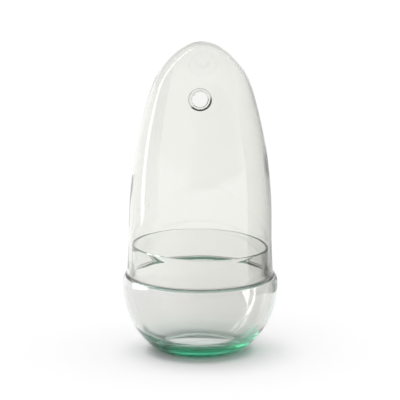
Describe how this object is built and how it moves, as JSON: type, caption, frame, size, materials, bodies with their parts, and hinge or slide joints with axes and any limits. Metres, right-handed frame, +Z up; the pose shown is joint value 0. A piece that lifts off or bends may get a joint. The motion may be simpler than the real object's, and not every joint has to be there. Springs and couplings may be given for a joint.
{
  "type": "propagation vase",
  "caption": "Blown-glass propagation vase: a round bowl with a thick base and upright neck, covered by a tall lift-off dome with a round vent hole near its top.",
  "frame": {"origin": "middle of the standing ring, on the surface that the vase stands on", "axes": "+Z up along the axis of the bowl and dome, -Y towards the side with the vent hole, +X to the right of it"},
  "size_m": [0.14, 0.14, 0.2809],
  "materials": {
    "bowl_glass": "clear recycled soda glass, fire-polished, faintly green, deep green where it is thick",
    "dome_glass": "clear recycled soda glass, fire-polished, faintly green"
  },
  "bodies": {
    "bowl": {"bowl": "bowl_glass"},
    "dome": {"dome": "dome_glass"}
  },
  "joints": [
    {"name": "dome_lift", "type": "slide", "parent": "bowl", "child": "dome", "axis": [0, 0, 1], "range_m": [0, 0.035]}
  ]
}
